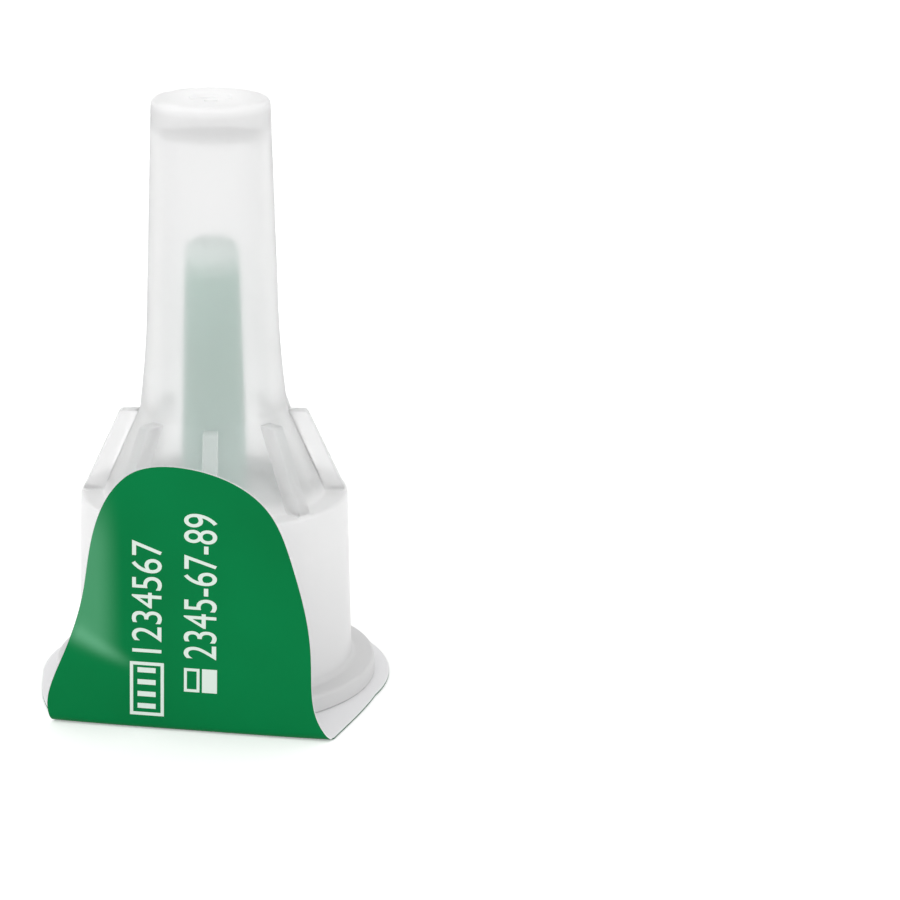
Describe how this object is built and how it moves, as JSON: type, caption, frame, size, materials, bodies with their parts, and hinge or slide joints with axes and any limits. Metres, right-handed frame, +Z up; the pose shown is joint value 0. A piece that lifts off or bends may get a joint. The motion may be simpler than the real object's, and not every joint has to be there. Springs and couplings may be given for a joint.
{
  "type": "pen needle",
  "caption": "Sealed pen needle standing on its peel-off seal: finned translucent outer cover, inner shield, ribbed screw-on hub, double-ended cannula and folded pull tab.",
  "frame": {"origin": "on the needle's axis, at the underside of the seal, which is the flat face it stands on", "axes": "+Z up along the needle's axis, from the cover's mouth to its closed end; -Y towards the side on which the pull tab is folded up"},
  "size_m": [0.0186, 0.0185, 0.0312],
  "materials": {
    "cover_plastic": "translucent natural polypropylene, softly glossy",
    "shield_plastic": "pale grey-green polypropylene, satin",
    "hub_plastic": "white polypropylene, satin",
    "needle_steel": "drawn and electropolished stainless tube",
    "adhesive": "clear cured adhesive",
    "seal_film": "green printed outside, white paper inside"
  },
  "bodies": {
    "root": {"outer_cover": "cover_plastic", "inner_shield": "shield_plastic", "needle_hub": "hub_plastic", "cannula": "needle_steel", "adhesive_bead": "adhesive", "seal_label": "seal_film"}
  },
  "joints": []
}
